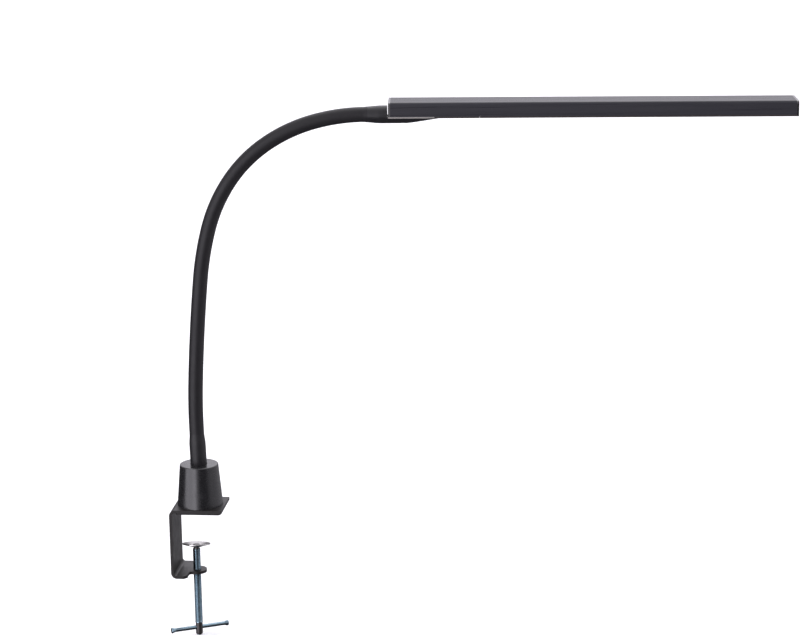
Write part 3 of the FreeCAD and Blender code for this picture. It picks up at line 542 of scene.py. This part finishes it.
@dataclass
class Gooseneck:
    """Covered bendable neck: a cover, a hose and a lead across each of its joints.

    Each piece runs from the middle of one link to the middle of the next, curved along the neck's
    line as it stands.
    """

    line: NeckLine = field(default_factory=NeckLine)
    cover_radius: float = 7.5 * MM
    cover_bore: float = 5.6 * MM
    swell: float = 0.4 * MM
    swell_reach: float = 4.0 * MM
    hose_radius: float = 5.5 * MM
    hose_bore: float = 2.4 * MM
    lead_radius: float = 1.4 * MM
    cover_gap: float = 1.75 * MM
    counterbore: float = 22.0 * MM
    socket_depth: float = 17.2 * MM
    bend_reach: float = 25.6 * MM
    end_reach: float = 24.0 * MM
    step: float = 1.6 * MM

    def span(self, joint: int, inside: bool) -> tuple[float, float]:
        """Length from which and to which a joint's piece runs.

        Args:
            joint: the joint, counted from 1.
            inside: whether the piece runs on inside the fittings at both ends of the neck.

        Returns:
            Start and end.
        """
        middle = (joint - 1) * self.line.link
        start, end = middle - self.line.link / 2, middle + self.line.link / 2
        if joint == 1:
            start = self.counterbore - self.line.foot if inside else -self.cover_gap
        if joint == self.line.joints:
            end = middle + (self.socket_depth if inside else self.cover_gap)
        return start, end

    def tube(self, joint: int, outer: float, bore: float, inside: bool, around: int) -> Surface:
        """A tube with a wall, or a solid rod where the bore is nothing, along a joint's span.

        The last cover widens evenly at its end, to meet the socket's mouth.
        """
        start, end = self.span(joint, inside)
        length = np.linspace(start, end, int(round((end - start) / self.step)) + 1)
        radius = np.full(len(length), outer)
        if joint == self.line.joints and not inside:
            radius += self.swell * np.clip((length - end) / self.swell_reach + 1, 0, 1)
        skin = self.line.rings(length, radius, around)
        if not bore:
            return shell(skin)
        hollow = self.line.rings(length[::-1], np.full(len(length), bore), around)
        return shell(np.concatenate([skin, hollow]), looped=True)

    def bend(self, piece: bpy.types.Object, joint: int) -> None:
        """Bake a piece's placement into its mesh; the stretch across its joint is worked out, but
        no blend is made.
        """
        middle = (joint - 1) * self.line.link
        start, end = middle - self.bend_reach, middle + self.bend_reach
        if joint == 1:
            start, end = middle, middle + self.end_reach
        if joint == self.line.joints:
            start, end = middle - self.end_reach, middle
        points, _ = self.line.trace(np.array([start, end]))
        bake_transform(piece)

    def nodes(self, joint: int, kind: str) -> list[str]:
        """The nodes of a kind on both sides of a joint."""
        first = {"hose": "neck_hose_foot", "lead": "neck_lead_foot"}.get(kind)
        last = {"hose": "upper_ferrule", "lead": "neck_lead_top"}.get(kind)
        before = first if joint == 1 else "neck_%s_%d" % (kind, joint - 1)
        after = last if joint == self.line.joints else "neck_%s_%d" % (kind, joint)
        return [name for name in (before, after) if name]

    def build(self) -> None:
        """Make the three pieces of every joint."""
        kinds = (("sleeve", "neck_cover", self.cover_radius, self.cover_bore, False, 56),
                 ("hose", "hose_steel", self.hose_radius, self.hose_bore, True, 32),
                 ("lead", "lead_black", self.lead_radius, 0.0, True, 16))
        for kind, slot, outer, bore, inside, around in kinds:
            for joint in range(1, self.line.joints + 1):
                surface = self.tube(joint, outer, bore, inside, around)
                piece = make_piece("bending_%s_%d" % (kind, joint), surface, slot)
                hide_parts(*self.nodes(joint, kind))
                self.bend(piece, joint)
        LOG.info("gooseneck: %d joints, each with a cover, a hose and a lead", self.line.joints)


# ---- clamp ----

@dataclass
class Clamp:
    """Strap, pad, hollow cone with its fittings, and the power inlet."""

    edge: float = 0.35 * MM
    pad_edge: float = 0.3 * MM
    ferrule_radius: float = 8.35 * MM
    stem_radius: float = 4.95 * MM
    stem_length: float = 11.0 * MM
    step_length: float = 12.0 * MM
    step_lip: float = 0.05 * MM
    step_rings: int = 13

    def build(self) -> None:
        """Dress the clamp's nodes and make the fitting of the neck."""
        dress("clamp_bracket", "strap_black", self.edge)
        dress("table_pad", "pad_rubber", self.pad_edge)
        for node, finish in (("base_cone", "cone_black"), ("cone_screws", "zinc_plate"),
                             ("power_inlet", "inlet_black"), ("inlet_nut", "zinc_plate"),
                             ("base_lead", "lead_black"), ("neck_washer", "zinc_plate"),
                             ("neck_nut", "zinc_plate")):
            dress(node, finish)
        self.build_ferrule()

    def build_ferrule(self) -> None:
        """Fitting that the neck stands in, with a soft step up to the neck's own cover.

        Over the step, its outer radius falls to the cover's as half a cosine wave. Heights are
        counted from the neck's seat, below which a narrower stem goes into the cone.
        """
        neck, top = Gooseneck, NeckLine.foot - Gooseneck.cover_gap
        share = np.linspace(0, 1, self.step_rings)
        above_cover = (self.ferrule_radius - neck.cover_radius) * (1 + np.cos(math.pi * share)) / 2
        step = np.stack([neck.cover_radius + above_cover,
                         top - self.step_lip - self.step_length * (1 - share)], axis=1)
        outline = np.vstack([
            [(neck.hose_bore, -self.stem_length), (self.stem_radius, -self.stem_length),
             (self.stem_radius, 0.0), (self.ferrule_radius, 0.0)],
            step,
            [(neck.cover_radius, top), (neck.cover_bore, top),
             (neck.cover_bore, neck.counterbore), (neck.hose_bore, neck.counterbore)]])
        place = Place(np.array([0, 0, NeckLine.seat]), turned_about("Y", -NeckLine.lean))
        piece = make_piece("neck_foot_fitting", lathe(outline, place, 72, looped=True),
                           "fitting_black", crease=40)
        settle(piece, Body.CLAMP, "fitting_black", "lower_ferrule")


# ---- head ----

@dataclass
class Head:
    """Socket, light bar and what it holds; the head's own X runs on from the neck."""

    socket_edge: float = 0.4 * MM
    cap_edge: float = 0.7 * MM
    bar_start: float = 22.2 * MM
    bar_length: float = 401.0 * MM
    half_width: float = 20.0 * MM
    under: float = -1.35 * MM
    cap_thick: float = 2.2 * MM
    mount_length: float = 43.1 * MM
    cover_length: float = 44.0 * MM
    gap: float = 0.3 * MM
    shaded_side_thick: float = 1.4 * MM
    shaded_side_width: float = 2.4 * MM
    shaded_side_edge: float = 0.25 * MM
    shaded_side_clear: float = 0.02 * MM
    panel_thick: float = 4.0 * MM

    def place(self) -> Place:
        """The head's frame: its origin is the last neck joint."""
        line = NeckLine()
        x, z = line.corners()[-1]
        heading = math.degrees(line.headings()[-1])
        return Place(np.array([x, 0.0, z]), turned_about("Y", heading - 90))

    def strip(self, outline: np.ndarray, start: float, end: float) -> Surface:
        """A section (Y, Z) carried along the head's X from start to end."""
        along = np.array([start, end])
        rings = np.stack([np.broadcast_to(along[:, None], (2, len(outline))),
                          np.broadcast_to(outline[:, 0], (2, len(outline))),
                          np.broadcast_to(outline[:, 1], (2, len(outline)))], axis=-1)
        return shell(self.place().carry(rings))

    def shaded_side(self, side: int, start: float, end: float) -> Surface:
        """The strip on one side of the diffuser, -1 or 1, that carries the painted shade of that
        side, with its outer lower edge rounded.
        """
        low, high = self.under, self.under + self.shaded_side_thick
        near = side * (self.half_width - self.shaded_side_width + self.shaded_side_clear)
        far = side * self.half_width
        outline = rounded([(near, low), (far, low, self.shaded_side_edge), (far, high), (near, high)],
                          closed=True)
        return self.strip(outline, start, end)

    def build_diffuser(self) -> None:
        """White panel between two side strips in a dark brown that paints the shade on the
        diffuser's sides, in place of the one strip.
        """
        start = (self.bar_start + self.cap_thick + self.mount_length + self.cover_length
                 + 2 * self.gap)
        end = self.bar_start + self.bar_length - self.cap_thick
        inner = self.half_width - self.shaded_side_width
        low, high = self.under, self.under + self.panel_thick
        panel = np.array([(-inner, low), (inner, low), (inner, high), (-inner, high)])
        piece = make_piece("diffuser_panel", self.strip(panel, start, end), "diffuser_white")
        settle(piece, Body.HEAD, "diffuser_white", "diffuser")
        # the side strips carry painted shade: dark brown where the diffuser's sides lie in shade
        shaded_sides = self.shaded_side(-1, start, end) + self.shaded_side(1, start, end)
        piece = make_piece("diffuser_painted_shade_sides", shaded_sides, "painted_shade_brown")
        settle(piece, Body.HEAD, "cover_black", "diffuser")

    def build(self) -> None:
        """Dress the head's nodes, and make its diffuser."""
        dress("head_socket", "socket_black", self.socket_edge)
        for node, finish in (("grub_screw", "zinc_plate"), ("head_screws", "zinc_plate"),
                             ("head_profile", "bar_black")):
            dress(node, finish)
        for node in ("end_cap_left", "end_cap_right"):
            dress(node, "cap_black", self.cap_edge)
        for node, finish in (("mount_plate", "mount_alloy"), ("switch_cover", "cover_black"),
                             ("led_board", "board_white"), ("led_chips", "chip_phosphor"),
                             ("driver_board", "circuit_green"), ("driver_parts", "part_black"),
                             ("dimmer_button", "button_grey"), ("dimmer_switch", "part_black"),
                             ("switch_board", "circuit_green")):
            dress(node, finish)
        self.build_diffuser()


# ---- spindle, tommy bar and foot ----

@dataclass
class ClampScrew:
    """Threaded spindle with its hub, sliding tommy bar, and the foot on its rivet.

    Attributes:
        eye_offset: how far the screw's line stands from the middle of the pad, towards -X.
        clamp_turn: degrees that the clamp is turned about the neck, clockwise from above.
        top: height of the spindle's upper end.
        thread_rows: rings of points in each pitch of the thread.
        flank: how steep the thread's wave is, before its crests are cut flat.
        root: how much of the wave is cut flat at the roots.
        plain_end: pitches at each end of the rod that carry no thread.
        tommy_turn: degrees from the clamp's X to the tommy bar.
        tommy_drop: from the hub's shoulder down to the middle of its hole.
        tommy_offset: how far the tommy bar has slid along its own line.
    """

    eye_offset: float = 5.7 * MM
    clamp_turn: float = 4.7
    top: float = -42.8 * MM
    length: float = 80.0 * MM
    radius: float = 3.95 * MM
    pitch: float = 1.25 * MM
    thread_depth: float = 0.7 * MM
    thread_sides: int = 48
    thread_rows: int = 8
    flank: float = 1.6
    root: float = 0.3
    plain_end: float = 0.4
    tip_chamfer: float = 0.8 * MM
    hub_radius: float = 3.6 * MM
    hub_length: float = 13.2 * MM
    hub_shoulder: float = 0.5 * MM
    hub_round: float = 1.6 * MM
    drill_reach: float = 10.0 * MM
    tommy_turn: float = 27.0
    tommy_drop: float = 5.6 * MM
    tommy_radius: float = 2.0 * MM
    tommy_clear: float = 0.08 * MM
    tommy_length: float = 61.5 * MM
    tommy_offset: float = 0.9 * MM
    foot_height: float = -40.7 * MM
    foot_tilt: float = 10.0
    dish_hole: float = 2.6 * MM
    dish_flat: float = 4.9 * MM
    dish_radius: float = 14.3 * MM
    dish_half: float = 0.52 * MM
    dish_rim: tuple[float, float] = (2.0 * MM, 3.2 * MM)
    dish_edge: float = 0.3 * MM
    hole_edge: float = 0.2 * MM
    dish_bend: float = 4.0 * MM

    def place(self, height: float) -> Place:
        """A frame on the screw's line at a height, turned with the clamp."""
        axes = turned_about("Z", -self.clamp_turn)
        return Place(axes @ np.array([-self.eye_offset, 0.0, 0.0]) + np.array([0, 0, height]), axes)

    def thread(self) -> Surface:
        """Threaded rod: its radius dips in a wave that climbs one pitch in each turn.

        The dip is a triangle wave of height over pitch less the angle's share of a turn, cut
        flat at its crests and roots, and it fades out at both ends.
        """
        height = np.linspace(0, self.length, self.thread_rows * int(self.length / self.pitch))
        angle = np.arange(self.thread_sides) / self.thread_sides * 2 * math.pi
        phase = (height[:, None] / self.pitch - angle[None, :] / (2 * math.pi)) % 1.0
        wave = np.clip(self.flank * (1 - np.abs(2 * phase - 1)) - self.root, 0, 1)
        from_end = np.minimum(height, self.length - height)[:, None]
        fade = np.clip(from_end / self.pitch - self.plain_end, 0, 1)
        radius = self.radius - self.thread_depth * (1 - wave) * fade
        chamfer = np.clip(1 - height / self.tip_chamfer, 0, 1)[:, None]
        radius = radius - self.tip_chamfer * chamfer ** 2
        rings = np.stack([radius * np.cos(angle), radius * np.sin(angle),
                          np.broadcast_to(-height[:, None], radius.shape)], axis=-1)
        return shell(self.place(self.top).carry(rings))

    def tommy_place(self) -> Place:
        """The tommy bar's frame: its Z runs along the bar, from the middle of the hub's hole."""
        middle = self.place(self.top - self.length - self.tommy_drop)
        turn = turned_about("Z", self.tommy_turn) @ turned_about("Y", 90)
        return Place(middle.origin, middle.axes @ turn)

    def build_hub(self) -> None:
        """Hub with a chamfer at its shoulder and a real hole for the tommy bar."""
        side, end, shoulder = self.hub_radius, self.hub_length, self.hub_shoulder
        outline = rounded([(0, 0), (side - shoulder, 0), (side, -shoulder),
                           (side, -end, self.hub_round), (0, -end)])
        start = self.place(self.top - self.length)
        hub = make_piece("spindle_hub", lathe(outline, start, 64), "bearing_dark")
        wide, reach = self.tommy_radius + self.tommy_clear, self.drill_reach
        drill_outline = np.array([(0, -reach), (wide, -reach), (wide, reach), (0, reach)])
        drill = make_piece("drill", lathe(drill_outline, self.tommy_place(), 48), "bearing_dark")
        cut = hub.modifiers.new("hole", "BOOLEAN")
        cut.object = drill
        cut.operation = "DIFFERENCE"
        cut.solver = "EXACT"
        bpy.context.view_layer.update()
        depsgraph = bpy.context.evaluated_depsgraph_get()
        drilled = bpy.data.meshes.new_from_object(hub.evaluated_get(depsgraph))
        hub.modifiers.clear()
        hub.data = drilled
        drilled.shade_smooth()
        drilled.set_sharp_from_angle(angle=math.radians(CREASE))
        bpy.data.objects.remove(drill)
        settle(hub, Body.SPINDLE, "zinc_plate", "clamp_spindle")

    def build_tommy(self) -> None:
        """Tommy bar with one end swaged to a mushroom and the other to a rounded bulge.

        The outline is in millimetres, up one side of the bar from its lower end.
        """
        half = self.tommy_length / 2 / MM
        outline = rounded([
            (0, -half), (2.7, -half, 0.25), (3.0, -half + 0.5, 0.3), (2.35, -half + 2.4, 1.2),
            (2.0, -half + 4.0, 2.0), (2.0, half - 4.4, 2.0), (2.5, half - 2.8, 1.5),
            (2.9, half - 1.0, 0.9), (2.2, half, 0.8), (0, half)]) * MM
        place = self.tommy_place()
        place.origin = place.carry(np.array([0, 0, self.tommy_offset]))
        piece = make_piece("tommy_handle", lathe(outline, place, 64), "zinc_plate", crease=50)
        settle(piece, Body.TOMMY, "zinc_plate", "tommy_bar")

    def build_foot(self) -> None:
        """Dished pressed-steel foot with a rounded rim, tilted on its rivet."""
        half, (rim_low, rim_high) = self.dish_half, self.dish_rim
        outline = rounded([
            (self.dish_hole, -half, self.hole_edge), (self.dish_flat, -half, self.dish_bend),
            (self.dish_radius, rim_low, self.dish_edge),
            (self.dish_radius, rim_high, self.dish_edge),
            (self.dish_flat, half, self.dish_bend), (self.dish_hole, half, self.hole_edge)],
            closed=True)
        place = self.place(self.foot_height)
        place.axes = place.axes @ turned_about("X", -self.foot_tilt)
        piece = make_piece("foot_dish", lathe(outline, place, 128, looped=True), "bright_steel")
        settle(piece, Body.FOOT, "bright_steel", "foot_disc")

    def build(self) -> None:
        """Make the spindle, the tommy bar and the foot."""
        rod = make_piece("spindle_thread", self.thread(), "zinc_plate", crease=70)
        settle(rod, Body.SPINDLE, "zinc_plate", "clamp_spindle")
        self.build_hub()
        self.build_tommy()
        self.build_foot()
        dress("foot_rivet", "rivet_dark")


# ---- studio ----

@dataclass
class Studio:
    """Camera, lights, world and floor.

    Attributes:
        eye: where the camera stands.
        yaw: turn of the camera to its right, in radians, as are pitch (down) and roll.
        tint: the world's colour.
        patches: bright parts of the world, each with the direction of its middle, the angle from
            there at which its light starts, the angle from which it is full, and its strength.
        suns: name, direction towards the light, strength and width in degrees.
        floor_drop: how far the floor lies below the origin.
    """

    eye: Triple = (0.25931, -2.43601, 0.76549)
    yaw: float = -0.02134
    pitch: float = 0.22870
    roll: float = -0.01574
    lens: float = 112.08
    sensor: float = 36.0
    clip_end: float = 100.0
    tint: Triple = (0.95, 0.925, 1.0)
    patches: tuple[tuple[Triple, float, float, float], ...] = (
        ((0.0, 0.0, 1.0), 92.0, 72.0, 0.79),
        ((0.0, 0.0, 1.0), 180.0, 179.0, 0.05),
        ((-0.72, -0.69, -0.1), 40.0, 24.0, 2.7),
        ((-0.26, -0.94, -0.22), 24.0, 4.0, 0.9),
        ((0.98, 0.17, -0.08), 62.0, 25.0, 0.6),
        ((0.17, 0.98, -0.2), 30.0, 12.0, 0.32),
        ((0.0, 0.75, 0.65), 34.0, 14.0, 1.1))
    suns: tuple[tuple[str, Triple, float, float], ...] = (
        ("key", (-0.6, -0.65, 0.7), 0.35, 30.0),
        ("top", (0.1, 0.3, 1.0), 1.4, 70.0))
    floor_drop: float = 0.1375
    floor_half: float = 40.0
    floor_colour: Triple = (0.93, 0.93, 0.93)
    floor_rough: float = 0.95
    floor_specular: float = 0.1

    def build_camera(self) -> None:
        """Camera that looks slightly down at the lamp from its front."""
        forward = Vector((math.sin(self.yaw) * math.cos(self.pitch),
                          math.cos(self.yaw) * math.cos(self.pitch), -math.sin(self.pitch)))
        right = Vector((math.cos(self.yaw), -math.sin(self.yaw), 0))
        up = right.cross(forward)
        side = right * math.cos(self.roll) + up * math.sin(self.roll)
        top = -right * math.sin(self.roll) + up * math.cos(self.roll)
        data = bpy.data.cameras.new("camera")
        data.lens = self.lens
        data.sensor_width = self.sensor
        data.clip_end = self.clip_end
        camera = bpy.data.objects.new("camera", data)
        camera.matrix_world = Matrix((
            (side.x, top.x, -forward.x, self.eye[0]), (side.y, top.y, -forward.y, self.eye[1]),
            (side.z, top.z, -forward.z, self.eye[2]), (0, 0, 0, 1)))
        bpy.context.scene.collection.objects.link(camera)
        bpy.context.scene.camera = camera

    @staticmethod
    def build_sun(name: str, towards: Triple, power: float, spread: float) -> None:
        """One far, broad light.

        Args:
            name: the light's name.
            towards: direction from the lamp to the light.
            power: its strength.
            spread: its width in degrees, as the lamp sees it.
        """
        data = bpy.data.lights.new(name, "SUN")
        data.energy = power
        data.angle = math.radians(spread)
        light = bpy.data.objects.new(name, data)
        light.rotation_euler = Vector(towards).to_track_quat("Z", "Y").to_euler()
        bpy.context.scene.collection.objects.link(light)

    def build_world(self) -> None:
        """World with a bright sky, a faint light all round, and soft bright panels.

        Each of them is a patch: a smooth step of the dot product between a direction and the
        middle of the patch. Their strengths are added.
        """
        world = bpy.data.worlds.new("studio")
        world.use_nodes = True
        nodes, links = world.node_tree.nodes, world.node_tree.links
        background = nodes["Background"]
        where = nodes.new("ShaderNodeTexCoord")
        total = None
        for middle, edge, full, strength in self.patches:
            along = nodes.new("ShaderNodeVectorMath")
            along.operation = "DOT_PRODUCT"
            along.inputs[1].default_value = tuple(Vector(middle).normalized())
            links.new(where.outputs["Generated"], along.inputs[0])
            step = nodes.new("ShaderNodeMapRange")
            step.interpolation_type = "SMOOTHSTEP"
            step.inputs["From Min"].default_value = math.cos(math.radians(edge))
            step.inputs["From Max"].default_value = math.cos(math.radians(full))
            step.inputs["To Min"].default_value = 0.0
            step.inputs["To Max"].default_value = strength
            links.new(along.outputs["Value"], step.inputs["Value"])
            if total is None:
                total = step.outputs["Result"]
                continue
            add = nodes.new("ShaderNodeMath")
            add.operation = "ADD"
            links.new(total, add.inputs[0])
            links.new(step.outputs["Result"], add.inputs[1])
            total = add.outputs["Value"]
        links.new(total, background.inputs["Strength"])
        background.inputs["Color"].default_value = self.tint + (1.0,)
        bpy.context.scene.world = world

    def build_floor(self) -> None:
        """Wide pale floor just under the lamp."""
        mesh = bpy.data.meshes.new("floor")
        half, drop = self.floor_half, self.floor_drop
        corners = [(-half, -half, -drop), (half, -half, -drop), (half, half, -drop),
                   (-half, half, -drop)]
        mesh.from_pydata(corners, [], [(0, 1, 2, 3)])
        floor = bpy.data.objects.new("floor", mesh)
        bpy.context.scene.collection.objects.link(floor)
        material = bpy.data.materials.new("floor_pale")
        material.use_nodes = True
        shader = material.node_tree.nodes["Principled BSDF"]
        shader.inputs["Base Color"].default_value = self.floor_colour + (1.0,)
        shader.inputs["Roughness"].default_value = self.floor_rough
        shader.inputs["Specular IOR Level"].default_value = self.floor_specular
        mesh.materials.append(material)
        floor.visible_glossy = False

    def build(self) -> None:
        """Set up the whole studio."""
        self.build_camera()
        self.build_world()
        self.build_floor()
        for sun in self.suns:
            self.build_sun(*sun)
        view = bpy.context.scene.view_settings
        view.view_transform = "Standard"
        view.look = "None"


def main() -> None:
    """Build the studio and every part of the lamp, and report each."""
    logging.basicConfig(level=logging.INFO, format="%(name)s: %(message)s")
    for part in (Studio(), Clamp(), Gooseneck(), Head(), ClampScrew()):
        part.build()
        LOG.info("%s finished", type(part).__name__)


if __name__ == "__main__":
    main()
